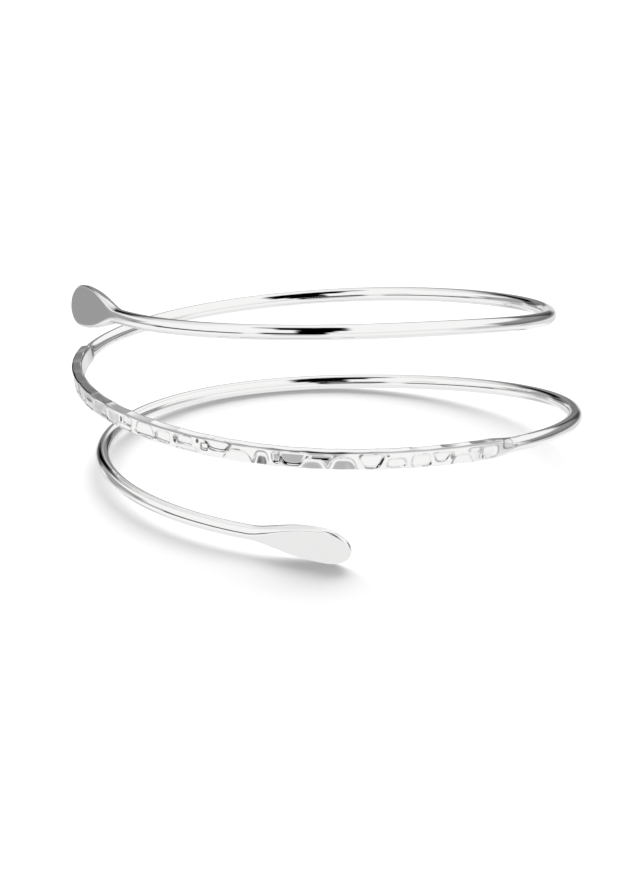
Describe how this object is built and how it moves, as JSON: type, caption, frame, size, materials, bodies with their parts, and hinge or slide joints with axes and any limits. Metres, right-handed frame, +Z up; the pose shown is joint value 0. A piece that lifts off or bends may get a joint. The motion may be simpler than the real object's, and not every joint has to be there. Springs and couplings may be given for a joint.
{
  "type": "upper arm cuff",
  "caption": "Open spiral cuff for the upper arm: one polished silver wire with a hammered front stretch and a flat teardrop paddle at each end.",
  "frame": {"origin": "middle of the box on the table that the cuff rests on", "axes": "+Z up, along the arm; +X to the wearer's side that is right in the picture; -Y to the hammered front"},
  "size_m": [0.0884, 0.089, 0.0398],
  "materials": {
    "silver": "mirror-polished silver, hammered on the front stretch"
  },
  "bodies": {
    "root": {"arm_cuff": "silver"}
  },
  "joints": []
}
